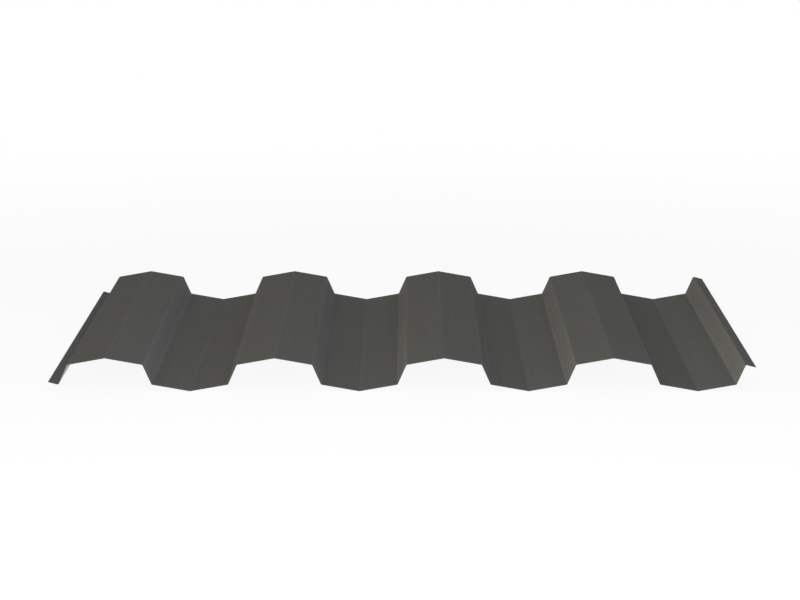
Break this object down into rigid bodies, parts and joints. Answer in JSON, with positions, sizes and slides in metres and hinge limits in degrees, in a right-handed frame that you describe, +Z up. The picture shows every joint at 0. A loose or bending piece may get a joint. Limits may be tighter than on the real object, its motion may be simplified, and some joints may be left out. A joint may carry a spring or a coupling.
{
  "type": "corrugated metal sheet",
  "caption": "Roll-formed corrugated metal sheet of wide trapezoidal waves with peaked crests, dished valleys, steep webs and a short flared lip on each side edge.",
  "frame": {"origin": "bottom centre of the sheet's bounding box, on the floor that the four valley folds rest on", "axes": "+X to the right across the ridges, towards the lip that falls outwards; +Y along the ridges, away from the viewer; +Z up, to the coloured weather side"},
  "size_m": [0.8484, 0.6096, 0.0408],
  "materials": {
    "coated_steel": "dark bronze-grey coil coating on the top side, semi-gloss; pale grey backing coat on the underside; bare steel at the cut ends"
  },
  "bodies": {
    "root": {"corrugated_sheet": "coated_steel"}
  },
  "joints": []
}
